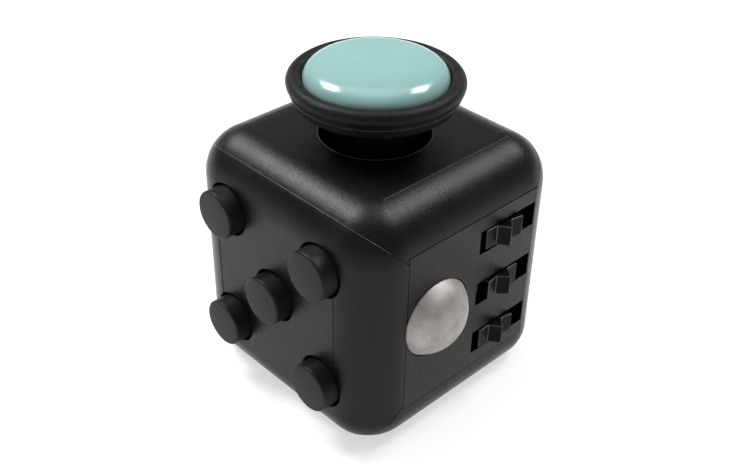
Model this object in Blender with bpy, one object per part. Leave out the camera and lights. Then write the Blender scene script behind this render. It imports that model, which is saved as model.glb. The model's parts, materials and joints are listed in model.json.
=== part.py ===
"""Fidget cube: a pocket toy with a small joystick, push buttons, gears, a ball, a rocker and a dial.

Millimetres inside the helpers, metres in the scene.  +Z is up and the joystick is on top.
-Y is the button side, +X is the gear and ball side, +Y is the rocker side, -X is the dial side.
The origin is the centre of the cube's bottom face.
"""
import math

import bpy
import bmesh
from mathutils import Matrix, Vector

for old in list(bpy.data.objects):
    bpy.data.objects.remove(old, do_unlink=True)

MM = 0.001

# ---- driving dimensions, in millimetres ----
CUBE = 33.0
HALF = CUBE / 2
MID_Z = CUBE / 2
EDGE_R = 6.06
BOTTOM_EDGE_R = 4.36
WALL = 2.0
SEAM = 0.12
ROLL_WINDOW = (-10.5, 11.5, 5.2, 27.8)
DIAL_WINDOW = (-11.0, 11.0, 5.2, 27.8)
PANEL_GAP = 0.06

BUTTON_PITCH = 8.33
BUTTON_R = 3.10
BUTTON_HOLE_R = 3.40
BUTTON_PROUD = 2.04

SLOT_Y = (1.45, 11.25)
SLOT_HEIGHT = 3.37
GEAR_PITCH = 7.6
GEAR_X = 14.0
GEAR_Y = 5.75
GEAR_TIP_R = 4.05
GEAR_ROOT_R = 2.95
GEAR_THICK = 2.7
GEAR_TEETH = 8
AXLE_R = 0.74

BALL_R = 5.7
BALL = (13.8, -5.4, 16.9)
BALL_LIP_R = 5.2

SOCKET_R = 6.76
PIVOT_Z = 26.5
RIM_R = 9.65
RIM_Z = 39.74
RIM_TUBE_R = 1.0
BADGE_R = 8.69
STICK_TOP = 42.4
BADGE_FULLNESS = 0.42

ROCKER_PIVOT = (0.0, 13.4, MID_Z)
ROCKER_HALF_WIDTH = 4.2
DIAL_R = 8.5
DIAL_PROUD = 3.0
DIAL_LOBES = 12
DIAL_LOBE_DEPTH = 0.3
SPINDLE_R = 1.5

DISH_R = 9.0
DISH_DEPTH = 1.1

PIN_R = 0.70
SCREW_HOLE_R = 0.65
FRAME_SCREW_AT = (4, 6)
TOP_POST_AT = (6.1, 8.1)
CLICK_SCREW_Z = (8.2, 24.8)
BRACKET_SCREW_Z = (10.5, 21.0)
BRACKET_SCREW_Y = 5.6
ROCKER_SCREW_Z = (12.0, 21.0)
CORNERS = ((-1, -1), (-1, 1), (1, -1), (1, 1))


# ---- materials ----
def material(name, colour, roughness, metallic=0.0):
    mat = bpy.data.materials.new(name)
    mat.use_nodes = True
    shader = mat.node_tree.nodes["Principled BSDF"]
    shader.inputs["Base Color"].default_value = (*colour, 1.0)
    shader.inputs["Roughness"].default_value = roughness
    shader.inputs["Metallic"].default_value = metallic
    mat.diffuse_color = (*colour, 1.0)
    return mat


BLACK_ABS = material("black_abs", (0.022, 0.022, 0.024), 0.45)
BLACK_BUTTON = material("black_button", (0.026, 0.026, 0.028), 0.55)
BLACK_GEAR = material("black_gear", (0.018, 0.018, 0.020), 0.30)
BLACK_RUBBER = material("black_rubber", (0.020, 0.020, 0.021), 0.70)
TEAL = material("teal_gloss", (0.27, 0.67, 0.63), 0.18)
STEEL = material("satin_steel", (0.58, 0.55, 0.52), 0.32, 1.0)
SCREW_STEEL = material("zinc_steel", (0.45, 0.45, 0.46), 0.35, 1.0)
SPRING_STEEL = material("spring_steel", (0.50, 0.50, 0.52), 0.28, 1.0)
NYLON = material("white_nylon", (0.72, 0.72, 0.69), 0.50)
CHASSIS = material("grey_chassis", (0.20, 0.20, 0.21), 0.55)


# ---- mesh helpers ----
def make(name, verts, faces, mat=None):
    mesh = bpy.data.meshes.new(name)
    mesh.from_pydata([(x * MM, y * MM, z * MM) for x, y, z in verts], [], faces)
    work = bmesh.new()
    work.from_mesh(mesh)
    bmesh.ops.recalc_face_normals(work, faces=work.faces)
    if work.calc_volume(signed=True) < 0:
        bmesh.ops.reverse_faces(work, faces=work.faces)
    work.to_mesh(mesh)
    work.free()
    obj = bpy.data.objects.new(name, mesh)
    bpy.context.scene.collection.objects.link(obj)
    if mat:
        mesh.materials.append(mat)
    return obj


def place(axis, radial_1, radial_2, along, centre):
    if axis == "X":
        return (centre[0] + along, centre[1] + radial_1, centre[2] + radial_2)
    if axis == "Y":
        return (centre[0] + radial_1, centre[1] + along, centre[2] + radial_2)
    return (centre[0] + radial_1, centre[1] + radial_2, centre[2] + along)


def lathe(name, profile, axis, centre, mat=None, segs=32):
    """Turn (radius, height) points about an axis; a profile off the axis closes on itself."""
    verts = []
    rows = []
    for radius, height in profile:
        if radius < 1e-6:
            rows.append([len(verts)])
            verts.append(place(axis, 0.0, 0.0, height, centre))
            continue
        row = []
        for i in range(segs):
            a = 2 * math.pi * i / segs
            row.append(len(verts))
            verts.append(place(axis, radius * math.cos(a), radius * math.sin(a), height, centre))
        rows.append(row)
    faces = []
    pairs = list(zip(rows, rows[1:]))
    if len(rows[0]) > 1 and len(rows[-1]) > 1:
        pairs.append((rows[-1], rows[0]))
    for low, high in pairs:
        for i in range(segs):
            j = (i + 1) % segs
            if len(low) == 1:
                faces.append((low[0], high[j], high[i]))
            elif len(high) == 1:
                faces.append((low[i], low[j], high[0]))
            else:
                faces.append((low[i], low[j], high[j], high[i]))
    return make(name, verts, faces, mat)


def rod(name, radius, low, high, axis, centre, mat=None, segs=24):
    return lathe(name, [(0, low), (radius, low), (radius, high), (0, high)], axis, centre, mat, segs)


def block(name, x, y, z, mat=None):
    verts = [(a, b, c) for c in z for b in y for a in x]
    faces = [(0, 2, 3, 1), (4, 5, 7, 6), (0, 1, 5, 4), (2, 6, 7, 3), (0, 4, 6, 2), (1, 3, 7, 5)]
    return make(name, verts, faces, mat)


def prism(name, outline, low, high, axis, centre=(0, 0, 0), mat=None):
    count = len(outline)
    verts = [place(axis, a, b, low, centre) for a, b in outline]
    verts += [place(axis, a, b, high, centre) for a, b in outline]
    faces = [tuple(range(count)), tuple(range(count, 2 * count))]
    for i in range(count):
        j = (i + 1) % count
        faces.append((i, j, count + j, count + i))
    return make(name, verts, faces, mat)


def rounded_ring(half, radius, z, steps):
    points = []
    for corner in range(4):
        sx, sy = ((1, 1), (-1, 1), (-1, -1), (1, -1))[corner]
        for k in range(steps + 1):
            a = math.pi / 2 * (corner + k / steps)
            cx = sx * (half - radius)
            cy = sy * (half - radius)
            points.append((cx + radius * math.cos(a), cy + radius * math.sin(a), z))
    return points


def rounded_body(name, half, z_low, z_high, side_r, bottom_r, top_r, steps, mat=None):
    rings = []
    for k in range(steps + 1):
        a = math.pi / 2 * k / steps
        inset = bottom_r * (1 - math.sin(a))
        z = z_low + bottom_r * (1 - math.cos(a))
        rings.append(rounded_ring(half - inset, max(side_r - inset, 0.2), z, steps))
    for k in range(steps + 1):
        a = math.pi / 2 * k / steps
        inset = top_r * (1 - math.cos(a))
        z = z_high - top_r * (1 - math.sin(a))
        rings.append(rounded_ring(half - inset, max(side_r - inset, 0.2), z, steps))
    verts = [p for ring in rings for p in ring]
    count = len(rings[0])
    faces = [tuple(range(count)), tuple(range(len(verts) - count, len(verts)))]
    for level in range(len(rings) - 1):
        for i in range(count):
            j = (i + 1) % count
            low = level * count
            high = low + count
            faces.append((low + i, low + j, high + j, high + i))
    return make(name, verts, faces, mat)


def coil(name, radius, wire, low, high, turns, centre, mat, per_turn=10, sides=5):
    verts = []
    faces = []
    count = int(turns * per_turn)
    for i in range(count + 1):
        a = 2 * math.pi * i / per_turn
        z = low + (high - low) * i / count
        for k in range(sides):
            b = 2 * math.pi * k / sides
            r = radius + wire * math.cos(b)
            verts.append((centre[0] + r * math.cos(a), centre[1] + r * math.sin(a), z + wire * math.sin(b)))
    for i in range(count):
        for k in range(sides):
            m = (k + 1) % sides
            low_i = i * sides
            high_i = low_i + sides
            faces.append((low_i + k, low_i + m, high_i + m, high_i + k))
    faces.append(tuple(range(sides)))
    faces.append(tuple(range(count * sides, (count + 1) * sides)))
    return make(name, verts, faces, mat)


def combine(target, tools, operation):
    """Join, cut or intersect the target with each tool in turn and drop the tools."""
    for tool in tools:
        tool.hide_render = True
        tool.display_type = "WIRE"
        mod = target.modifiers.new(operation.lower(), "BOOLEAN")
        mod.operation = operation
        mod.solver = "EXACT"
        mod.object = tool
        bpy.context.view_layer.update()
        graph = bpy.context.evaluated_depsgraph_get()
        mesh = bpy.data.meshes.new_from_object(target.evaluated_get(graph))
        work = bmesh.new()
        work.from_mesh(mesh)
        bmesh.ops.remove_doubles(work, verts=work.verts, dist=0.000001)
        bmesh.ops.dissolve_degenerate(work, edges=work.edges, dist=0.0000005)
        work.to_mesh(mesh)
        work.free()
        target.modifiers.clear()
        before = target.data
        target.data = mesh
        bpy.data.meshes.remove(before)
        bpy.data.objects.remove(tool, do_unlink=True)
    return target


def cut(target, *tools):
    return combine(target, tools, "DIFFERENCE")


def join(target, *tools):
    return combine(target, tools, "UNION")


def copy_of(obj, name):
    twin = obj.copy()
    twin.data = obj.data.copy()
    twin.name = name
    twin.data.name = name
    bpy.context.scene.collection.objects.link(twin)
    return twin


def finish(obj, name=None, mat=None, pivot=None, sharp=35.0):
    """Clean, name, colour and shade one piece and put its origin on its joint axis."""
    if name:
        obj.name = name
    mesh = obj.data
    mesh.name = obj.name
    work = bmesh.new()
    work.from_mesh(mesh)
    bmesh.ops.remove_doubles(work, verts=work.verts, dist=0.000002)
    bmesh.ops.dissolve_degenerate(work, edges=work.edges, dist=0.000001)
    bmesh.ops.recalc_face_normals(work, faces=work.faces)
    work.to_mesh(mesh)
    work.free()
    if mat:
        mesh.materials.clear()
        mesh.materials.append(mat)
    if pivot:
        shift = Vector(pivot) * MM
        mesh.transform(Matrix.Translation(-shift))
        obj.location = shift
    mesh.shade_smooth()
    mesh.set_sharp_from_angle(angle=math.radians(sharp))
    return obj


def ball_shape(name, radius, centre, mat=None, segs=32, rings=16):
    profile = []
    for k in range(rings + 1):
        a = math.pi * k / rings
        profile.append((radius * math.sin(a) if 0 < k < rings else 0.0, -radius * math.cos(a)))
    return lathe(name, profile, "X", centre, mat, segs)


def screw(name, axis, centre, head_at, tip_at, head_r=1.15, shank_r=0.6, head_h=0.85):
    """Pan-head screw with a hexagon socket; the head sits at head_at and points away from the tip."""
    way = 1.0 if head_at > tip_at else -1.0
    profile = [
        (0, tip_at),
        (shank_r * 0.5, tip_at),
        (shank_r, tip_at + way * 0.4),
        (shank_r, head_at),
        (head_r, head_at),
        (head_r, head_at + way * head_h * 0.7),
        (head_r * 0.8, head_at + way * head_h),
        (0.45, head_at + way * head_h),
        (0.45, head_at + way * head_h * 0.4),
        (0, head_at + way * head_h * 0.4),
    ]
    return finish(lathe(name, profile, axis, centre, SCREW_STEEL, 12))


# ---- outer shells ----
full = rounded_body("full", HALF, 0.0, CUBE, EDGE_R, BOTTOM_EDGE_R, EDGE_R, 6)
hollow = rounded_body("hollow", HALF - WALL, WALL, CUBE - WALL, 2.5, 2.0, 2.5, 4)
roll_y0, roll_y1, roll_z0, roll_z1 = ROLL_WINDOW
dial_y0, dial_y1, dial_z0, dial_z1 = DIAL_WINDOW
cut(
    full,
    hollow,
    block("roll_window", (10, 20), (roll_y0, roll_y1), (roll_z0, roll_z1)),
    block("dial_window", (-20, -10), (dial_y0, dial_y1), (dial_z0, dial_z1)),
)


def wedge(name, turn):
    """Quarter of the cube's cross-section, seen along X, between two mitre planes."""
    lift = SEAM / 2 * math.sqrt(2)
    outline = []
    for a, b in ((0.0, lift), (40.0, 40.0 + lift), (-40.0, 40.0 + lift)):
        c = math.cos(turn)
        s = math.sin(turn)
        outline.append((a * c - b * s, a * s + b * c))
    return prism(name, outline, -25, 25, "X", (0, 0, MID_Z))


top_shell = combine(copy_of(full, "top_shell"), [wedge("w_top", 0.0)], "INTERSECT")
click_shell = combine(copy_of(full, "click_shell"), [wedge("w_click", math.pi / 2)], "INTERSECT")
bottom_shell = combine(copy_of(full, "bottom_shell"), [wedge("w_bottom", math.pi)], "INTERSECT")
flip_shell = combine(copy_of(full, "flip_shell"), [wedge("w_flip", -math.pi / 2)], "INTERSECT")
bpy.data.objects.remove(full, do_unlink=True)

lip_r = SOCKET_R + 0.4
socket_cut = [(0, 30), (SOCKET_R, 30), (SOCKET_R, 32.7), (lip_r, 33.1), (lip_r, 34), (0, 34)]
for sx, sy in CORNERS:
    at = (sx * TOP_POST_AT[0], sy * TOP_POST_AT[1], 0)
    join(top_shell, rod("post", 0.65, 28.35, 31.4, "Z", at, segs=12))
cut(top_shell, lathe("socket", socket_cut, "Z", (0, 0, 0), segs=64))
finish(top_shell, mat=BLACK_ABS)

BUTTON_SPOTS = {
    "upper_left": (-BUTTON_PITCH, MID_Z + BUTTON_PITCH),
    "upper_right": (BUTTON_PITCH, MID_Z + BUTTON_PITCH),
    "centre": (0.0, MID_Z),
    "lower_left": (-BUTTON_PITCH, MID_Z - BUTTON_PITCH),
    "lower_right": (BUTTON_PITCH, MID_Z - BUTTON_PITCH),
}
for bx, bz in BUTTON_SPOTS.values():
    cut(click_shell, rod("hole", BUTTON_HOLE_R, -18, -13, "Y", (bx, 0, bz), segs=32))
cut(click_shell, ball_shape("relief", BALL_R + 0.15, BALL))
finish(click_shell, mat=BLACK_ABS)

cut(flip_shell, block("rocker_opening", (-4.5, 4.5), (13, 18), (MID_Z - 6.8, MID_Z + 6.8)))
finish(flip_shell, mat=BLACK_ABS)

dish = [(0, DISH_DEPTH)]
for k in range(1, 8):
    share = k / 7
    dish.append((DISH_R * share, DISH_DEPTH * (1 - share * share)))
dish += [(DISH_R + 0.4, -0.3), (0, -0.3)]
for sx, sy in CORNERS:
    at = (sx * FRAME_SCREW_AT[0], sy * FRAME_SCREW_AT[1], 0)
    join(bottom_shell, rod("post", 1.5, 1.4, 4.9, "Z", at, segs=16))
    cut(bottom_shell, rod("pilot", SCREW_HOLE_R, 2.6, 5.2, "Z", at, segs=12))
cut(bottom_shell, lathe("dish", dish, "Z", (0, 0, 0), segs=48))
finish(bottom_shell, mat=BLACK_ABS)

# ---- central chassis ----
core = block("core_frame", (-6.8, 6.8), (-8.8, 8.8), (5.0, 28.2))
cut(core, block("core_hollow", (-5.4, 5.4), (-7.4, 7.4), (6.4, 30.0)))
for z in CLICK_SCREW_Z:
    join(core, rod("boss", 1.7, -9.9, -8.0, "Y", (0, 0, z), segs=16))
    cut(core, rod("pilot", SCREW_HOLE_R, -10.5, -7.0, "Y", (0, 0, z), segs=12))
for z in ROCKER_SCREW_Z:
    cut(core, rod("pilot", SCREW_HOLE_R, 7.0, 9.5, "Y", (0, 0, z), segs=12))
for z in BRACKET_SCREW_Z:
    cut(core, rod("pilot", SCREW_HOLE_R, 5.0, 7.5, "X", (0, BRACKET_SCREW_Y, z), segs=12))
cut(core, rod("trunnion_bore", 0.80, -8, 8, "X", (0, 0, PIVOT_Z), segs=24))
for sx, sy in CORNERS:
    at = (sx * FRAME_SCREW_AT[0], sy * FRAME_SCREW_AT[1], 0)
    cut(core, rod("floor_hole", SCREW_HOLE_R, 4.5, 7.0, "Z", at, segs=12))
finish(core, mat=CHASSIS)

for number, (sx, sy) in enumerate(CORNERS, 1):
    at = (sx * FRAME_SCREW_AT[0], sy * FRAME_SCREW_AT[1], 0)
    screw("frame_screw_%d" % number, "Z", at, 6.45, 2.9)

# ---- buttons ----
plate = block("click_plate", (-11.5, 11.5), (-11.0, -9.95), (5.0, 28.3))
cut(plate, block("ball_notch", (6.9, 12.5), (-12, -9), (11.6, 22.2)))
for bx, bz in BUTTON_SPOTS.values():
    cut(plate, rod("stem_hole", 1.15, -12, -9, "Y", (bx, 0, bz), segs=20))
for level, z in zip(("lower", "upper"), CLICK_SCREW_Z):
    cut(plate, rod("screw_hole", SCREW_HOLE_R, -12, -9, "Y", (0, 0, z), segs=12))
    screw("click_plate_screw_" + level, "Y", (0, 0, z), -11.05, -7.8)
finish(plate, mat=CHASSIS)

button_face = -HALF - BUTTON_PROUD
button_profile = [
    (0, button_face),
    (BUTTON_R - 0.35, button_face),
    (BUTTON_R - 0.18, button_face + 0.05),
    (BUTTON_R - 0.05, button_face + 0.18),
    (BUTTON_R, button_face + 0.35),
    (BUTTON_R, -14.3),
    (3.8, -14.3),
    (3.8, -13.5),
    (1.0, -13.5),
    (1.0, -10.4),
    (0, -10.4),
]
pad_profile = [(1.25, -11.05), (2.35, -11.05), (1.95, -12.2), (1.75, -12.3), (1.35, -12.3)]
for spot, (bx, bz) in BUTTON_SPOTS.items():
    cap = lathe("button_" + spot, button_profile, "Y", (bx, 0, bz), BLACK_BUTTON, 28)
    finish(cap, pivot=(bx, -HALF, bz))
    finish(lathe("click_dome_" + spot, pad_profile, "Y", (bx, 0, bz), BLACK_RUBBER, 14))

# ---- joystick ----
pivot = (0, 0, PIVOT_Z)
stem_profile = [
    (0, 22.2),
    (1.2, 22.2),
    (1.5, 22.5),
    (1.5, 29.4),
    (4.3, 30.2),
    (4.75, 31.2),
    (5.3, 33.0),
    (6.3, 34.6),
    (7.6, 36.0),
    (8.5, 36.9),
    (8.5, 37.1),
    (3.0, 37.1),
    (3.0, 38.0),
    (0, 38.0),
]
stem = lathe("stick_stem", stem_profile, "Z", (0, 0, 0), BLACK_ABS, 32)
cut(stem, rod("pin_bore", 0.76, -3, 3, "Y", pivot, segs=20))
finish(stem, mat=BLACK_ABS, pivot=pivot)

cap_profile = [(0, 38.08), (3.06, 38.08), (3.06, 37.16), (9.6, 37.3)]
cap_profile += [(9.82, 37.56), (10.05, 38.2), (10.26, 38.62)]
for k in range(9):
    a = math.radians(-30 + 20 * k)
    cap_profile.append((RIM_R + RIM_TUBE_R * math.cos(a), RIM_Z + RIM_TUBE_R * math.sin(a)))
cap_profile += [(8.76, 40.1), (8.76, 38.9), (0, 38.9)]
finish(lathe("stick_cap", cap_profile, "Z", (0, 0, 0), BLACK_RUBBER, 44), pivot=pivot)

badge_profile = [(0, 38.95), (BADGE_R, 38.95), (BADGE_R, 40.05)]
for k in range(1, 9):
    a = math.pi / 2 * k / 8
    radius = BADGE_R * math.cos(a) ** BADGE_FULLNESS if k < 8 else 0.0
    badge_profile.append((radius, 40.05 + (STICK_TOP - 40.05) * math.sin(a)))
finish(lathe("cap_badge", badge_profile, "Z", (0, 0, 0), TEAL, 44), pivot=pivot)

ring_profile = [(3.2, -1.0), (4.4, -1.0), (4.4, 1.0), (3.2, 1.0)]
gimbal = lathe("gimbal_ring", ring_profile, "Z", pivot, NYLON, 36)
join(gimbal, rod("trunnion_a", 0.75, 4.0, 6.6, "X", pivot, segs=20))
join(gimbal, rod("trunnion_b", 0.75, -6.6, -4.0, "X", pivot, segs=20))
cut(gimbal, rod("pin_bore", 0.72, -6, 6, "Y", pivot, segs=20))
finish(gimbal, mat=NYLON, pivot=pivot)
finish(rod("gimbal_cross_pin", PIN_R, -4.3, 4.3, "Y", pivot, SPRING_STEEL, 16), pivot=pivot)
finish(coil("stick_spring", 2.2, 0.32, 6.8, 21.3, 6, (0, 0, 0), SPRING_STEEL))

# ---- roll side: panel, gears and ball ----
gap = PANEL_GAP
panel_y = (roll_y0 + gap, roll_y1 - gap)
panel_z = (roll_z0 + gap, roll_z1 - gap)
flange_y = (roll_y0 - 0.45, roll_y1 + 0.45)
flange_z = (roll_z0 - 0.6, roll_z1 + 0.6)
roll = block("roll_panel", (13.9, HALF), panel_y, panel_z)
join(roll, block("flange", (13.3, 14.4), flange_y, flange_z))
join(roll, rod("skirt", 6.7, -4.75, -0.3, "X", BALL, segs=48))
pocket_profile = [(0, -6.0), (6.12, -6.0), (6.12, -0.55)]
for k in range(7):
    x = -0.55 + 2.95 * k / 6
    pocket_profile.append((math.sqrt((BALL_R + 0.1) ** 2 - x * x), x))
pocket_profile += [(BALL_LIP_R, 2.4), (BALL_LIP_R, 4.0), (0, 4.0)]
cut(roll, lathe("ball_pocket", pocket_profile, "X", BALL, segs=48))
cut(roll, block("gear_pocket", (12.9, 14.9), (1.3, 10.4), (6.0, 27.0)))
for z in (MID_Z + GEAR_PITCH, MID_Z, MID_Z - GEAR_PITCH):
    cut(roll, block("slot", (14.0, 18.0), SLOT_Y, (z - SLOT_HEIGHT / 2, z + SLOT_HEIGHT / 2)))
finish(roll, mat=BLACK_ABS)

bracket = block("gear_bracket", (7.0, 14.75), (2.0, 9.9), (6.15, 26.85))
cut(bracket, block("gear_room", (9.4, 16.0), (1.0, 11.0), (7.25, 25.75)))
cut(bracket, rod("axle_bore", AXLE_R + 0.02, 5, 28, "Z", (GEAR_X, GEAR_Y, 0), segs=16))
for level, z in zip(("lower", "upper"), BRACKET_SCREW_Z):
    cut(bracket, rod("pilot", SCREW_HOLE_R, 6.5, 9.0, "X", (0, BRACKET_SCREW_Y, z), segs=12))
    screw("gear_bracket_screw_" + level, "X", (0, BRACKET_SCREW_Y, z), 5.35, 8.6, head_h=0.7)
finish(bracket, mat=NYLON)
finish(rod("gear_axle", AXLE_R, 6.2, 26.8, "Z", (GEAR_X, GEAR_Y, 0), SPRING_STEEL, 16))


def star_gear(name, z, phase):
    """Star wheel with pointed teeth and an axle bore, turning about a vertical axis."""
    count = GEAR_TEETH * 2
    verts = []
    for height in (-GEAR_THICK / 2, GEAR_THICK / 2):
        for radius_out in (True, False):
            for i in range(count):
                a = math.radians(phase) + math.pi * i / GEAR_TEETH
                radius = (GEAR_TIP_R if i % 2 == 0 else GEAR_ROOT_R) if radius_out else AXLE_R + 0.06
                verts.append((GEAR_X + radius * math.cos(a), GEAR_Y + radius * math.sin(a), z + height))
    faces = []
    low_out, low_in, high_out, high_in = (range(k * count, (k + 1) * count) for k in range(4))
    for i in range(count):
        j = (i + 1) % count
        faces.append((low_out[i], low_out[j], low_in[j], low_in[i]))
        faces.append((high_out[i], high_in[i], high_in[j], high_out[j]))
        faces.append((low_out[i], high_out[i], high_out[j], low_out[j]))
        faces.append((low_in[i], low_in[j], high_in[j], high_in[i]))
    return finish(make(name, verts, faces, BLACK_GEAR), pivot=(GEAR_X, GEAR_Y, z))


star_gear("gear_top", MID_Z + GEAR_PITCH, -7.0)
star_gear("gear_middle", MID_Z, 4.0)
star_gear("gear_bottom", MID_Z - GEAR_PITCH, -4.0)

finish(ball_shape("steel_ball", BALL_R, BALL, STEEL, 32, 16), pivot=BALL)
cup_profile = [(6.0, -5.05), (6.0, -0.95)]
for k in range(7):
    x = -0.95 - 4.1 * k / 6
    cup_profile.append((math.sqrt((BALL_R + 0.1) ** 2 - x * x), x))
finish(lathe("ball_cup", cup_profile, "X", BALL, NYLON, 32), pivot=BALL)
washer_profile = [(4.5, -6.85), (5.6, -6.85), (5.6, -6.4), (4.5, -6.4)]
finish(lathe("ball_spring", washer_profile, "X", BALL, SPRING_STEEL, 28))

# ---- flip side: rocker ----
housing = block("rocker_housing", (-6.4, 6.4), (9.0, 14.4), (MID_Z - 7.8, MID_Z + 7.8))
cut(housing, block("rocker_room", (-4.9, 4.9), (10.2, 15.0), (MID_Z - 6.6, MID_Z + 6.6)))
cut(housing, rod("pin_bore", 0.72, -7, 7, "X", ROCKER_PIVOT, segs=20))
for level, z in zip(("lower", "upper"), ROCKER_SCREW_Z):
    cut(housing, rod("screw_hole", SCREW_HOLE_R, 8.0, 11.0, "Y", (0, 0, z), segs=12))
    screw("rocker_screw_" + level, "Y", (0, 0, z), 10.25, 7.8, head_h=0.7)
finish(housing, mat=CHASSIS)
rocker_outline = [
    (12.3, -4.5),
    (12.3, 4.5),
    (13.4, 6.0),
    (18.25, 6.0),
    (18.54, 5.6),
    (17.85, 2.5),
    (17.6, 0.0),
    (17.85, -2.5),
    (18.54, -5.6),
    (18.25, -6.0),
    (13.4, -6.0),
]
rocker = prism("rocker", rocker_outline, -ROCKER_HALF_WIDTH, ROCKER_HALF_WIDTH, "X", (0, 0, MID_Z))
cut(rocker, rod("pin_bore", 0.76, -7, 7, "X", ROCKER_PIVOT, segs=20))
finish(rocker, mat=BLACK_BUTTON, pivot=ROCKER_PIVOT)
finish(rod("rocker_pin", PIN_R, -6.3, 6.3, "X", ROCKER_PIVOT, SPRING_STEEL, 16))
detent_profile = [(0, 10.25), (1.3, 10.25), (1.1, 11.2), (0.5, 11.7), (0, 11.8)]
finish(lathe("rocker_detent", detent_profile, "Y", (0, 0, MID_Z), BLACK_RUBBER, 16))

# ---- spin side: dial ----
panel_y = (dial_y0 + gap, dial_y1 - gap)
panel_z = (dial_z0 + gap, dial_z1 - gap)
flange_y = (dial_y0 - 0.5, dial_y1 + 0.5)
flange_z = (dial_z0 - 0.6, dial_z1 + 0.6)
dial_panel = block("dial_panel", (-HALF, -13.9), panel_y, panel_z)
join(dial_panel, block("flange", (-14.4, -13.3), flange_y, flange_z))
cut(dial_panel, rod("spindle_bore", 1.56, -18, -12, "X", (0, 0, MID_Z), segs=24))
finish(dial_panel, mat=BLACK_ABS)

dial_outline = []
for i in range(72):
    a = 2 * math.pi * i / 72
    radius = DIAL_R - DIAL_LOBE_DEPTH * (1 - math.cos(DIAL_LOBES * a))
    dial_outline.append((radius * math.cos(a), radius * math.sin(a)))
dial = prism("spin_dial", dial_outline, -HALF - DIAL_PROUD, -HALF - 0.2, "X", (0, 0, MID_Z))
cut(dial, rod("spindle_socket", SPINDLE_R + 0.02, -18.5, -16.0, "X", (0, 0, MID_Z), segs=24))
dip_profile = [(0, -18.3), (2.0, -18.45), (3.0, -19.6), (0, -19.6)]
cut(dial, lathe("finger_dip", dip_profile, "X", (0, 5.0, MID_Z), segs=28))
dial_pivot = (-HALF, 0, MID_Z)
finish(dial, mat=BLACK_BUTTON, pivot=dial_pivot)
spindle = rod("dial_spindle", SPINDLE_R, -18.4, -11.8, "X", (0, 0, MID_Z), SPRING_STEEL, 24)
finish(spindle, pivot=dial_pivot)
clip_profile = [(1.53, -13.1), (2.8, -13.1), (2.8, -12.4), (1.53, -12.4)]
finish(lathe("dial_clip", clip_profile, "X", (0, 0, MID_Z), SPRING_STEEL, 24), pivot=dial_pivot)
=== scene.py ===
"""Fidget cube on a pale floor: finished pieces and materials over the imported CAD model."""
import json
import math

import bmesh
import bpy
from mathutils import Matrix, Vector


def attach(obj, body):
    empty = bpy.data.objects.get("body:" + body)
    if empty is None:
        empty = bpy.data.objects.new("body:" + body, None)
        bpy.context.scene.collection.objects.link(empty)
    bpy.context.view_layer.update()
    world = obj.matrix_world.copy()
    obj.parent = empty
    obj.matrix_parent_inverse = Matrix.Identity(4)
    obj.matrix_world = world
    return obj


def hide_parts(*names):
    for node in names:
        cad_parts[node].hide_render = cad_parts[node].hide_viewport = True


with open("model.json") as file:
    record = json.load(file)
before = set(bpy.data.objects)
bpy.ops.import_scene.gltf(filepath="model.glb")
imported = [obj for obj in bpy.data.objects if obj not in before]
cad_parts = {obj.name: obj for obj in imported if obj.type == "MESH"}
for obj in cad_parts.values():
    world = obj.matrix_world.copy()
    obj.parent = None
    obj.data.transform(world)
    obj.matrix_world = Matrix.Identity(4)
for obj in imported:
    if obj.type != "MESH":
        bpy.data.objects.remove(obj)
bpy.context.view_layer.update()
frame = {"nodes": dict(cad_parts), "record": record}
nodes = frame["nodes"]

MM = 0.001

# ---- driving dimensions, in millimetres ----
HALF = 16.5
CUBE = 2 * HALF
MID_Z = HALF
WALL = 2.0
EDGE_R = 6.06
BOTTOM_R = 4.36
SEAM = 0.11
SEAM_LINE_START = 12.6
TONGUE_DEPTH = 0.35
TONGUE_HALF = 0.6
ROLL_WINDOW = (-10.5, 11.5, 5.2, 27.8)
DIAL_WINDOW = (-11.0, 11.0, 5.2, 27.8)

PITCH = 8.33
BUTTON_R = 3.10
BUTTON_EDGE_R = 0.28
BUTTON_FACE = -HALF - 2.04
HOLE_R = 3.40
HOLE_LIP_R = 3.55

BALL = (13.8, -5.4, 16.9)
BALL_R = 5.7
BALL_RELIEF_R = 5.85
BALL_POCKET_R = 5.8
BALL_LIP_R = 5.2

SOCKET_R = 6.76
SOCKET_LIP_R = 0.45
RIM_R = 9.65
RIM_Z = 39.74
BADGE_R = 8.68
BADGE_EDGE_Z = 40.05
BADGE_RISE = 2.35
BADGE_FULLNESS = 0.42
DISH_R = 9.0
DISH_DEPTH = 1.1
CREASE_X = 10.65
TOP_CREASE_X = 11.63

SLOT_Y = (1.45, 11.25)
SLOT_HALF = 1.685
GEAR_AT = (14.0, 5.75)
GEAR_TIP_R = 4.05
GEAR_ROOT_R = 2.95
GEAR_TEETH = 8
GEAR_HALF = 1.35
GEARS = (("top", 24.1, -7.0), ("middle", 16.5, 4.0), ("bottom", 8.9, -4.0))


# ---- node helpers ----
def new_material(name):
    mat = bpy.data.materials.new(name)
    mat.use_nodes = True
    tree = mat.node_tree
    shader = tree.nodes["Principled BSDF"]
    return mat, tree, shader


def noise(tree, coords, scale, detail=4.0, rough=0.6, distortion=0.0):
    node = tree.nodes.new("ShaderNodeTexNoise")
    node.inputs["Scale"].default_value = scale
    node.inputs["Detail"].default_value = detail
    node.inputs["Roughness"].default_value = rough
    node.inputs["Distortion"].default_value = distortion
    tree.links.new(coords, node.inputs["Vector"])
    return node.outputs["Fac"]


def ramp(tree, source, low, high, at):
    node = tree.nodes.new("ShaderNodeMapRange")
    node.inputs["From Min"].default_value = at[0]
    node.inputs["From Max"].default_value = at[1]
    node.inputs["To Min"].default_value = low
    node.inputs["To Max"].default_value = high
    tree.links.new(source, node.inputs["Value"])
    return node.outputs["Result"]


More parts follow.
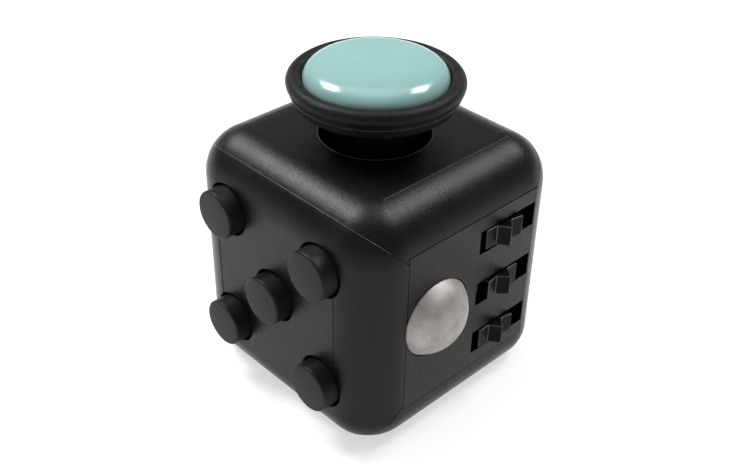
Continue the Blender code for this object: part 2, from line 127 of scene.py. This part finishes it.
def two_tone(tree, source, dark, light, at=(0.35, 0.65)):
    node = tree.nodes.new("ShaderNodeValToRGB")
    node.color_ramp.elements[0].position = at[0]
    node.color_ramp.elements[0].color = (*dark, 1)
    node.color_ramp.elements[1].position = at[1]
    node.color_ramp.elements[1].color = (*light, 1)
    tree.links.new(source, node.inputs["Fac"])
    return node.outputs["Color"]


def bump(tree, height, strength, distance, before=None):
    node = tree.nodes.new("ShaderNodeBump")
    node.inputs["Strength"].default_value = strength
    node.inputs["Distance"].default_value = distance
    tree.links.new(height, node.inputs["Height"])
    if before:
        tree.links.new(before, node.inputs["Normal"])
    return node.outputs["Normal"]


def surface(name, dark, light, rough, metallic=0.0, grain=5200, grain_depth=0.25, grain_size=0.00002,
            blotch=160, specular=0.5, coat=0.0, wear=0.0):
    """Moulded or metal surface: blotched tone, roughness that wanders and a fine grain."""
    mat, tree, shader = new_material(name)
    coords = tree.nodes.new("ShaderNodeTexCoord").outputs["Object"]
    broad = noise(tree, coords, blotch, 5.0, 0.6)
    fine = noise(tree, coords, grain, 3.0, 0.65)
    tree.links.new(two_tone(tree, broad, dark, light), shader.inputs["Base Color"])
    mixed = tree.nodes.new("ShaderNodeMath")
    mixed.operation = "MULTIPLY_ADD"
    tree.links.new(fine, mixed.inputs[0])
    mixed.inputs[1].default_value = 0.5
    tree.links.new(broad, mixed.inputs[2])
    tree.links.new(ramp(tree, mixed.outputs[0], rough[0], rough[1], (0.5, 1.0)), shader.inputs["Roughness"])
    normal = bump(tree, fine, grain_depth, grain_size)
    if wear:
        scuffs = noise(tree, coords, 900, 6.0, 0.7, 1.5)
        normal = bump(tree, scuffs, wear, 0.00002, normal)
    tree.links.new(normal, shader.inputs["Normal"])
    shader.inputs["Metallic"].default_value = metallic
    shader.inputs["Specular IOR Level"].default_value = specular
    shader.inputs["Coat Weight"].default_value = coat
    shader.inputs["Coat Roughness"].default_value = 0.06
    return mat


LOOKS = {
    "black_abs": surface("black_abs", (0.0022, 0.0022, 0.0025), (0.0045, 0.0045, 0.0049), (0.23, 0.33),
                         grain=6000, grain_depth=0.8, grain_size=0.000045, specular=0.165),
    "black_button": surface("black_button", (0.004, 0.004, 0.0044), (0.008, 0.008, 0.0085), (0.38, 0.52),
                            grain=5200, grain_depth=0.6, grain_size=0.00004, specular=0.16),
    "black_gear": surface("black_gear", (0.002, 0.002, 0.0024), (0.0045, 0.0045, 0.005), (0.24, 0.36),
                          grain=3000, grain_depth=0.2, specular=0.07),
    "black_rubber": surface("black_rubber", (0.003, 0.003, 0.0034), (0.007, 0.007, 0.0075), (0.36, 0.50),
                            grain=3600, grain_depth=0.9, grain_size=0.00008, blotch=500, specular=0.13),
    "teal_gloss": surface("teal_gloss", (0.160, 0.292, 0.277), (0.183, 0.318, 0.302), (0.15, 0.22),
                          grain=1500, grain_depth=0.03, blotch=90, specular=0.45),
    "satin_steel": surface("satin_steel", (0.30, 0.285, 0.27), (0.44, 0.422, 0.40), (0.56, 0.68), 1.0,
                           grain=2600, grain_depth=0.4, grain_size=0.00004, blotch=420, wear=0.25),
    "zinc_steel": surface("zinc_steel", (0.38, 0.38, 0.39), (0.50, 0.50, 0.51), (0.28, 0.42), 1.0),
    "spring_steel": surface("spring_steel", (0.42, 0.42, 0.44), (0.55, 0.55, 0.57), (0.22, 0.35), 1.0),
    "white_nylon": surface("white_nylon", (0.62, 0.62, 0.58), (0.74, 0.74, 0.71), (0.42, 0.58)),
    "grey_chassis": surface("grey_chassis", (0.07, 0.07, 0.072), (0.10, 0.10, 0.102), (0.45, 0.6)),
}
# Painted highlight: a lighter grey for beads and bevels on the black plastic, standing in for the bright
# glints along its edges.
LOOKS["painted_highlight_line"] = surface("painted_highlight_line", (0.022, 0.022, 0.023), (0.038, 0.038, 0.039), (0.30, 0.42),
                             grain=2500, grain_depth=0.3, specular=0.5)
LOOKS["shadow_line"] = surface("shadow_line", (0.001, 0.001, 0.001), (0.002, 0.002, 0.002), (0.7, 0.8),
                               grain=2500, grain_depth=0.1, specular=0.05)
for entry in frame["record"]["subparts"]:
    obj = nodes[entry["node"]]
    if obj.material_slots:
        obj.material_slots[0].material = LOOKS[entry["material_slot"]]


# ---- mesh helpers, in millimetres ----
def make(name, verts, faces):
    mesh = bpy.data.meshes.new(name)
    mesh.from_pydata([(x * MM, y * MM, z * MM) for x, y, z in verts], [], faces)
    work = bmesh.new()
    work.from_mesh(mesh)
    bmesh.ops.recalc_face_normals(work, faces=work.faces)
    work.to_mesh(mesh)
    work.free()
    obj = bpy.data.objects.new(name, mesh)
    bpy.context.scene.collection.objects.link(obj)
    return obj


def place(axis, a, b, along, centre):
    if axis == "X":
        return (centre[0] + along, centre[1] + a, centre[2] + b)
    if axis == "Y":
        return (centre[0] + a, centre[1] + along, centre[2] + b)
    return (centre[0] + a, centre[1] + b, centre[2] + along)


def lathe(name, profile, axis, centre, segs=96):
    verts = []
    rows = []
    for radius, height in profile:
        if radius < 1e-6:
            rows.append([len(verts)])
            verts.append(place(axis, 0.0, 0.0, height, centre))
            continue
        row = []
        for i in range(segs):
            a = 2 * math.pi * i / segs
            row.append(len(verts))
            verts.append(place(axis, radius * math.cos(a), radius * math.sin(a), height, centre))
        rows.append(row)
    faces = []
    pairs = list(zip(rows, rows[1:]))
    if len(rows[0]) > 1 and len(rows[-1]) > 1:
        pairs.append((rows[-1], rows[0]))
    for low, high in pairs:
        for i in range(segs):
            j = (i + 1) % segs
            if len(low) == 1:
                faces.append((low[0], high[j], high[i]))
            elif len(high) == 1:
                faces.append((low[i], low[j], high[0]))
            else:
                faces.append((low[i], low[j], high[j], high[i]))
    return make(name, verts, faces)


def rod(name, radius, low, high, axis, centre, segs=64):
    return lathe(name, [(0, low), (radius, low), (radius, high), (0, high)], axis, centre, segs)


def block(name, x, y, z):
    verts = [(a, b, c) for c in z for b in y for a in x]
    faces = [(0, 2, 3, 1), (4, 5, 7, 6), (0, 1, 5, 4), (2, 6, 7, 3), (0, 4, 6, 2), (1, 3, 7, 5)]
    return make(name, verts, faces)


def prism(name, outline, low, high, axis, centre=(0, 0, 0)):
    count = len(outline)
    verts = [place(axis, a, b, low, centre) for a, b in outline]
    verts += [place(axis, a, b, high, centre) for a, b in outline]
    faces = [tuple(range(count)), tuple(range(count, 2 * count))]
    for i in range(count):
        j = (i + 1) % count
        faces.append((i, j, count + j, count + i))
    return make(name, verts, faces)


def arc(radius, centre, start, end, steps):
    """Points on an arc in the (radius, height) plane."""
    points = []
    for k in range(steps + 1):
        a = math.radians(start + (end - start) * k / steps)
        points.append((centre[0] + radius * math.cos(a), centre[1] + radius * math.sin(a)))
    return points


def rounded_ring(half, radius, z, steps):
    points = []
    for corner in range(4):
        sx, sy = ((1, 1), (-1, 1), (-1, -1), (1, -1))[corner]
        for k in range(steps + 1):
            a = math.pi / 2 * (corner + k / steps)
            cx = sx * (half - radius)
            cy = sy * (half - radius)
            points.append((cx + radius * math.cos(a), cy + radius * math.sin(a), z))
    return points


def rounded_body(name, half, z_low, z_high, side_r, bottom_r, top_r, steps):
    rings = []
    for k in range(steps + 1):
        a = math.pi / 2 * k / steps
        inset = bottom_r * (1 - math.sin(a))
        z = z_low + bottom_r * (1 - math.cos(a))
        rings.append(rounded_ring(half - inset, max(side_r - inset, 0.05), z, steps))
    for k in range(steps + 1):
        a = math.pi / 2 * k / steps
        inset = top_r * (1 - math.cos(a))
        z = z_high - top_r * (1 - math.sin(a))
        rings.append(rounded_ring(half - inset, max(side_r - inset, 0.05), z, steps))
    verts = [p for ring in rings for p in ring]
    count = len(rings[0])
    faces = [tuple(range(count)), tuple(range(len(verts) - count, len(verts)))]
    for level in range(len(rings) - 1):
        for i in range(count):
            j = (i + 1) % count
            low = level * count
            high = low + count
            faces.append((low + i, low + j, high + j, high + i))
    return make(name, verts, faces)


def combine(target, tools, operation):
    for tool in tools:
        tool.hide_render = True
        mod = target.modifiers.new("shape", "BOOLEAN")
        mod.operation = operation
        mod.solver = "EXACT"
        mod.object = tool
        bpy.context.view_layer.update()
        graph = bpy.context.evaluated_depsgraph_get()
        mesh = bpy.data.meshes.new_from_object(target.evaluated_get(graph))
        work = bmesh.new()
        work.from_mesh(mesh)
        bmesh.ops.remove_doubles(work, verts=work.verts, dist=0.000001)
        work.to_mesh(mesh)
        work.free()
        target.modifiers.clear()
        target.data = mesh
        bpy.data.objects.remove(tool, do_unlink=True)
    return target


def cut(target, *tools):
    return combine(target, tools, "DIFFERENCE")


def smooth(obj, angle=32.0):
    obj.data.shade_smooth()
    obj.data.set_sharp_from_angle(angle=math.radians(angle))


def finish(obj, look, body, *replaced, bevel=0.0, angle=32.0, segments=2):
    """Shade, colour and mount one piece on its body, standing in for CAD nodes."""
    obj.data.materials.clear()
    obj.data.materials.append(LOOKS[look])
    if bevel:
        mod = obj.modifiers.new("round", "BEVEL")
        mod.width = bevel * MM
        mod.segments = segments
        mod.limit_method = "ANGLE"
        mod.angle_limit = math.radians(40)
        mod.harden_normals = True
    smooth(obj, angle)
    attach(obj, body)
    if replaced:
        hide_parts(*replaced)
    return obj


def outer_normal(p):
    """Normal of the cube's rounded outside at a point in millimetres, and the point's distance from it."""
    core = HALF - EDGE_R
    qx = max(abs(p.x) - core, 0.0) * (1 if p.x > 0 else -1)
    qy = max(abs(p.y) - core, 0.0) * (1 if p.y > 0 else -1)
    side = math.hypot(qx, qy)
    if p.z > MID_Z:
        qz = max(p.z - MID_Z - core, 0.0)
        q = Vector((qx, qy, qz))
        away = q.length
        return (q / away if away > 1e-6 else Vector((0, 0, 1))), abs(away - EDGE_R)
    if p.z >= BOTTOM_R:
        return (Vector((qx, qy, 0)) / side if side > 1e-6 else Vector((0, 0, -1))), abs(side - EDGE_R)
    nz = -(BOTTOM_R - p.z) / BOTTOM_R
    level = math.sqrt(max(1 - nz * nz, 0.0))
    expected = EDGE_R - BOTTOM_R + BOTTOM_R * level
    if side > 1e-6 and level > 1e-3:
        return Vector((qx / side * level, qy / side * level, nz)), abs(side - expected)
    return Vector((0, 0, -1)), abs(p.z)


def true_normals(obj, angle=30.0):
    """Exact shading on the rounded outside; everything else keeps its own smooth or sharp edges."""
    mesh = obj.data
    smooth(obj, angle)
    normals = [Vector(c.vector) for c in mesh.corner_normals]
    for poly in mesh.polygons:
        for loop in poly.loop_indices:
            p = mesh.vertices[mesh.loops[loop].vertex_index].co / MM
            n, off = outer_normal(p)
            if off < 0.02 and poly.normal.dot(n) > 0.96:
                normals[loop] = n
    mesh.normals_split_custom_set(normals)


# ---- outer shells ----
def hollow_out(body):
    """Open the inside of the cube and the windows for its two side panels."""
    return cut(
        body,
        rounded_body("hollow", HALF - WALL, WALL, CUBE - WALL, 2.5, 2.0, 2.5, 4),
        block("roll_window", (10, 20), ROLL_WINDOW[:2], ROLL_WINDOW[2:]),
        block("dial_window", (-20, -10), DIAL_WINDOW[:2], DIAL_WINDOW[2:]),
    )


full = hollow_out(rounded_body("full", HALF, 0.0, CUBE, EDGE_R, BOTTOM_R, EDGE_R, 18))


def shell(name, turn):
    """One mitred quarter of the cube, seen along X."""
    lift = SEAM / 2 * math.sqrt(2)
    c = math.cos(turn)
    s = math.sin(turn)
    outline = [(a * c - b * s, a * s + b * c) for a, b in ((0, lift), (40, 40 + lift), (-40, 40 + lift))]
    twin = full.copy()
    twin.data = full.data.copy()
    twin.name = name
    bpy.context.scene.collection.objects.link(twin)
    return combine(twin, [prism("wedge", outline, -25, 25, "X", (0, 0, MID_Z))], "INTERSECT")


SPOTS = {
    "upper_left": (-PITCH, MID_Z + PITCH),
    "upper_right": (PITCH, MID_Z + PITCH),
    "centre": (0.0, MID_Z),
    "lower_left": (-PITCH, MID_Z - PITCH),
    "lower_right": (PITCH, MID_Z - PITCH),
}
top = shell("top_shell_skin", 0.0)
click = shell("click_shell_skin", math.pi / 2)
bottom = shell("bottom_shell_skin", math.pi)
flip = shell("flip_shell_skin", -math.pi / 2)
bpy.data.objects.remove(full, do_unlink=True)

lip_r = SOCKET_R + SOCKET_LIP_R
lip_z = CUBE - SOCKET_LIP_R
socket = [(0, 30), (SOCKET_R, 30), (SOCKET_R, lip_z)] + arc(SOCKET_LIP_R, (lip_r, lip_z), 180, 90, 6)
socket += [(lip_r, 34), (0, 34)]
cut(top, lathe("socket", socket, "Z", (0, 0, 0), 128))
for bx, bz in SPOTS.values():
    hole = [(0, -13), (HOLE_R, -13), (HOLE_R, -16.35), (HOLE_LIP_R, -16.55), (HOLE_LIP_R, -18), (0, -18)]
    cut(click, lathe("hole", hole, "Y", (bx, 0, bz), 64))
relief = [(0, -BALL_RELIEF_R)] + arc(BALL_RELIEF_R, (0, 0), -85, 85, 34) + [(0, BALL_RELIEF_R)]
cut(click, lathe("relief", relief, "X", BALL, 64))
cut(flip, block("opening", (-4.5, 4.5), (13, 18), (MID_Z - 6.8, MID_Z + 6.8)))
dish = [(DISH_R * k / 16, DISH_DEPTH * (1 - (k / 16) ** 2)) for k in range(17)]
dish += [(DISH_R + 0.4, -0.3), (0, -0.3)]
cut(bottom, lathe("dish", dish, "Z", (0, 0, 0), 96))

# A thin tongue behind the mitre seams closes them to light.
tongue_r = EDGE_R - TONGUE_DEPTH
tongue_low_r = BOTTOM_R - TONGUE_DEPTH
tongue = rounded_body("seam_tongue", HALF - TONGUE_DEPTH, TONGUE_DEPTH, CUBE - TONGUE_DEPTH,
                      tongue_r, tongue_low_r, tongue_r, 12)
hollow_out(tongue)
slabs = []
d = math.sqrt(0.5)
for side in (-1, 1):
    corners = ((30, TONGUE_HALF), (-30, TONGUE_HALF), (-30, -TONGUE_HALF), (30, -TONGUE_HALF))
    outline = [(a * d - b * d * side, a * d * side + b * d) for a, b in corners]
    slabs.append(prism("slab", outline, -25, 25, "X", (0, 0, MID_Z)))
combine(slabs[0], slabs[1:], "UNION")
combine(tongue, slabs[:1], "INTERSECT")
finish(tongue, "black_abs", "cube")
for label, piece in (("top", top), ("click", click), ("bottom", bottom), ("flip", flip)):
    finish(piece, "black_abs", "cube", label + "_shell")
    true_normals(piece)


# ---- fine lines: thin beads; the lighter ones are painted highlights ----
def line(name, paths, radius, look, body="cube"):
    """Thin round bead of the given radius along each path, in millimetres, in the given look; a lighter
    look makes it a painted highlight line.
    """
    data = bpy.data.curves.new(name, "CURVE")
    data.dimensions = "3D"
    data.bevel_depth = radius * MM
    data.bevel_resolution = 2
    for path in paths:
        spline = data.splines.new("POLY")
        spline.points.add(len(path) - 1)
        for point, (x, y, z) in zip(spline.points, path):
            point.co = (x * MM, y * MM, z * MM, 1)
    obj = bpy.data.objects.new(name, data)
    bpy.context.scene.collection.objects.link(obj)
    data.materials.append(LOOKS[look])
    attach(obj, body)
    return obj


def circle(radius, z, steps=120):
    turn = 2 * math.pi / steps
    return [(radius * math.cos(turn * i), radius * math.sin(turn * i), z) for i in range(steps + 1)]


def seam_path(top, side):
    """Mitre seam over one long edge of the cube, along its outside from end to end."""
    radius = EDGE_R if top else BOTTOM_R
    half_path = []
    for k in range(61):
        rise = SEAM_LINE_START + (HALF - SEAM_LINE_START) * k / 60
        depth = max(rise - (HALF - radius), 0.0)
        inset = radius - math.sqrt(max(radius * radius - depth * depth, 0.0))
        r = EDGE_R - inset
        over = rise - (HALF - EDGE_R)
        if over > r:
            break
        x = HALF - EDGE_R + math.sqrt(max(r * r - over * over, 0.0))
        half_path.append((x, rise))
    straight = (HALF - radius) + radius * math.sqrt(0.5)
    half_path.append((HALF - EDGE_R, straight))
    sign = 1 if top else -1
    path = [(x, side * r, MID_Z + sign * r) for x, r in half_path]
    return path + [(-x, y, z) for x, y, z in reversed(path)]


seams = [seam_path(top_edge, side) for top_edge in (True, False) for side in (-1, 1)]
# Painted highlight: a light bead along each mitre seam.
line("mitre_seam_highlight", seams, 0.042, "painted_highlight_line")
# Painted highlight: a light ring round the socket's lip.
line("socket_rim_highlight", [circle(6.98, 32.95)], 0.07, "painted_highlight_line")
creases = [[(x, -HALF, z) for z in range(6, 26)] for x in (-CREASE_X, CREASE_X)]
line("click_face_creases", creases, 0.035, "shadow_line")
# Painted highlight: light beads along the top face's two creases.
branch_r = EDGE_R - 0.12
branch_centre = (EDGE_R - HALF, CUBE - EDGE_R)
branch = [(-TOP_CREASE_X, y, z) for y, z in arc(branch_r, branch_centre, 135, 90, 9)]
left_crease = branch + [(-TOP_CREASE_X, y, 32.88) for y in range(-10, 12)]
right_crease = [(TOP_CREASE_X, y, 32.88) for y in range(-10, 12)]
line("top_face_crease_highlights", [right_crease, left_crease], 0.035, "painted_highlight_line")

# ---- joystick socket: painted shade ----
# Painted shade: a near-black ring deep in the socket keeps the opening dark round the stem.
shade_ring_profile = [(2.3, 28.45), (6.72, 28.45), (6.72, 30.9), (6.62, 30.9), (6.62, 28.6), (2.3, 28.6)]
finish(lathe("socket_shade_ring", shade_ring_profile, "Z", (0, 0, 0), 96), "shadow_line", "cube")

# ---- buttons ----
edge_centre = (BUTTON_R - BUTTON_EDGE_R, BUTTON_FACE + BUTTON_EDGE_R)
button_profile = [(0, BUTTON_FACE)] + arc(BUTTON_EDGE_R, edge_centre, -90, 0, 6)
button_profile += [(BUTTON_R, -14.3), (3.8, -14.3), (3.8, -13.5), (1.0, -13.5), (1.0, -10.4), (0, -10.4)]
for spot, (bx, bz) in SPOTS.items():
    piece = lathe("button_skin_" + spot, button_profile, "Y", (bx, 0, bz), 72)
    finish(piece, "black_button", "button_%s_body" % spot, "button_" + spot)

# ---- joystick ----
stem = [(0, 22.2), (1.2, 22.2), (1.5, 22.5), (1.5, 29.4), (4.3, 30.2), (4.75, 31.2), (5.3, 33.0)]
stem += [(6.3, 34.6), (7.6, 36.0), (8.5, 36.9), (8.5, 37.1), (3.0, 37.1), (3.0, 38.0), (0, 38.0)]
finish(lathe("stick_stem_skin", stem, "Z", (0, 0, 0), 96), "black_abs", "stick", "stick_stem")
cap = [(0, 38.08), (3.06, 38.08), (3.06, 37.16), (9.5, 37.28), (9.75, 37.42), (9.82, 37.56)]
cap += [(10.05, 38.2), (10.22, 38.50), (10.14, 38.60), (10.28, 38.70)]
cap += arc(1.0, (RIM_R, RIM_Z), -45, 145, 18) + [(8.76, 40.1), (8.76, 38.9), (0, 38.9)]
finish(lathe("stick_cap_skin", cap, "Z", (0, 0, 0), 160), "black_rubber", "stick", "stick_cap")
badge = [(0, 38.95), (8.60, 38.95), (BADGE_R, BADGE_EDGE_Z)]
for k in range(1, 25):
    a = math.pi / 2 * k / 24
    radius = BADGE_R * math.cos(a) ** BADGE_FULLNESS if k < 24 else 0.0
    badge.append((radius, BADGE_EDGE_Z + BADGE_RISE * math.sin(a)))
finish(lathe("cap_badge_skin", badge, "Z", (0, 0, 0), 160), "teal_gloss", "stick", "cap_badge", angle=60)
# Painted highlight: a light ring round the cap's edge under the rubber rim.
line("cap_edge_highlight", [circle(10.24, 38.56)], 0.045, "painted_highlight_line", "stick")

# ---- roll side ----
roll = block("roll_panel_skin", (13.9, HALF), (-10.40, 11.42), (5.28, 27.72))
pocket = [(0, -6.0), (6.12, -6.0), (6.12, -0.55)]
for k in range(9):
    x = -0.55 + 2.95 * k / 8
    pocket.append((math.sqrt(BALL_POCKET_R ** 2 - x * x), x))
pocket += [(BALL_LIP_R, 2.4), (BALL_LIP_R, 4.0), (0, 4.0)]
gear_pocket = block("gear_pocket", (12.9, 14.9), (1.3, 10.4), (6.0, 27.0))
cut(roll, lathe("pocket", pocket, "X", BALL, 96), gear_pocket)
for _, z, _ in GEARS:
    cut(roll, block("slot", (14.0, 18.0), SLOT_Y, (z - SLOT_HALF, z + SLOT_HALF)))
finish(roll, "black_abs", "cube", "roll_panel")


def star_gear(name, z, phase):
    """Star wheel with pointed teeth and an axle bore."""
    outline = []
    for i in range(2 * GEAR_TEETH):
        a = math.radians(phase) + math.pi * i / GEAR_TEETH
        radius = GEAR_TIP_R if i % 2 == 0 else GEAR_ROOT_R
        outline.append((radius * math.cos(a), radius * math.sin(a)))
    gear = prism(name, outline, -GEAR_HALF, GEAR_HALF, "Z", (*GEAR_AT, z))
    return cut(gear, rod("bore", 0.80, -3, 3, "Z", (*GEAR_AT, z), 24))


for label, z, phase in GEARS:
    gear = star_gear("gear_skin_" + label, z, phase)
    finish(gear, "black_gear", "gear_%s_body" % label, "gear_" + label, bevel=0.08)
    # Painted highlight: the gears' bevelled edges take the lighter highlight colour.
    gear.data.materials.append(LOOKS["painted_highlight_line"])
    gear.modifiers["round"].material = 1
# Painted highlight: light beads along the lower edges of the gear slots.
slot_length = SLOT_Y[1] - SLOT_Y[0]
slot_edges = []
for _, z, _ in GEARS:
    slot_edges.append([(HALF, SLOT_Y[0] + slot_length * k / 12, z - SLOT_HALF) for k in range(13)])
line("slot_edge_highlights", slot_edges, 0.03, "painted_highlight_line")

sphere = [(0, -BALL_R)] + arc(BALL_R, (0, 0), -86.25, 86.25, 46) + [(0, BALL_R)]
finish(lathe("steel_ball_skin", sphere, "X", BALL, 96), "satin_steel", "ball", "steel_ball", angle=60)


# ---- far sides: CAD shapes with softened edges, the bevels in a painted highlight colour ----
def soften(node, body, look, width):
    source = nodes[node]
    obj = bpy.data.objects.new(node + "_skin", source.data.copy())
    bpy.context.scene.collection.objects.link(obj)
    return finish(obj, look, body, node, bevel=width)


for node, body, width in (("rocker", "rocker_body", 0.2), ("spin_dial", "dial", 0.15)):
    piece = soften(node, body, "black_button", width)
    # Painted highlight: the bevelled edges take the lighter highlight colour.
    piece.data.materials.append(LOOKS["painted_highlight_line"])
    piece.modifiers["round"].material = 1

# ---- floor, light and camera ----
mat, tree, shader = new_material("floor")
coords = tree.nodes.new("ShaderNodeTexCoord").outputs["Object"]
patches = noise(tree, coords, 6, 3)
tree.links.new(two_tone(tree, patches, (0.40, 0.40, 0.40), (0.42, 0.42, 0.42)), shader.inputs["Base Color"])
shader.inputs["Roughness"].default_value = 0.9
shader.inputs["Emission Color"].default_value = (1.0, 1.0, 1.0, 1.0)
shader.inputs["Emission Strength"].default_value = 0.60
shader.inputs["Specular IOR Level"].default_value = 0.1
FLOOR_HALF = 3000
corners = [(sx * FLOOR_HALF, sy * FLOOR_HALF, 0) for sx, sy in ((-1, -1), (1, -1), (1, 1), (-1, 1))]
floor = make("floor", corners, [(0, 1, 2, 3)])
floor.data.materials.append(mat)


def softbox(name, direction, distance, size, power, target=(0, 0, 0.018)):
    data = bpy.data.lights.new(name, "AREA")
    data.shape = "RECTANGLE"
    data.size = size[0]
    data.size_y = size[1]
    data.energy = power
    light = bpy.data.objects.new(name, data)
    way = Vector(direction).normalized()
    light.location = Vector(target) + way * distance
    light.rotation_euler = (-way).to_track_quat("-Z", "Y").to_euler()
    bpy.context.scene.collection.objects.link(light)


softbox("left_high", (-0.59, -0.21, 0.78), 0.55, (0.20, 0.16), 3.4)
softbox("back_high", (0.20, 0.57, 0.80), 0.55, (0.20, 0.16), 2.2)
softbox("overhead", (-0.1, 0.1, 1.0), 0.60, (0.40, 0.40), 1.0)

world = bpy.data.worlds.new("studio")
bpy.context.scene.world = world
world.use_nodes = True
sky = world.node_tree
ray = sky.nodes.new("ShaderNodeTexCoord").outputs["Generated"]
split = sky.nodes.new("ShaderNodeSeparateXYZ")
sky.links.new(ray, split.inputs["Vector"])
dome = two_tone(sky, split.outputs["Z"], (0.48, 0.48, 0.48), (0.40, 0.40, 0.40), (0.0, 0.6))
sky.links.new(dome, sky.nodes["Background"].inputs["Color"])

LENS = 51.339
EYE = (0.079675, -0.078008, 0.095423)
azimuth = math.radians(45.806)
elevation = math.radians(34.922)
roll_angle = math.radians(1.065)
back = Vector((math.sin(azimuth) * math.cos(elevation), -math.cos(azimuth) * math.cos(elevation),
               math.sin(elevation)))
flat_right = Vector((math.cos(azimuth), math.sin(azimuth), 0))
flat_up = back.cross(flat_right)
right = flat_right * math.cos(roll_angle) + flat_up * math.sin(roll_angle)
up = -flat_right * math.sin(roll_angle) + flat_up * math.cos(roll_angle)
camera_data = bpy.data.cameras.new("camera")
camera_data.sensor_width = 36.0
camera_data.lens = LENS
camera_data.clip_start = 0.002
camera_data.clip_end = 20.0
camera = bpy.data.objects.new("camera", camera_data)
camera.matrix_world = Matrix((
    (right.x, up.x, back.x, EYE[0]),
    (right.y, up.y, back.y, EYE[1]),
    (right.z, up.z, back.z, EYE[2]),
    (0, 0, 0, 1),
))
bpy.context.scene.collection.objects.link(camera)
bpy.context.scene.camera = camera
bpy.context.scene.view_settings.view_transform = "Standard"
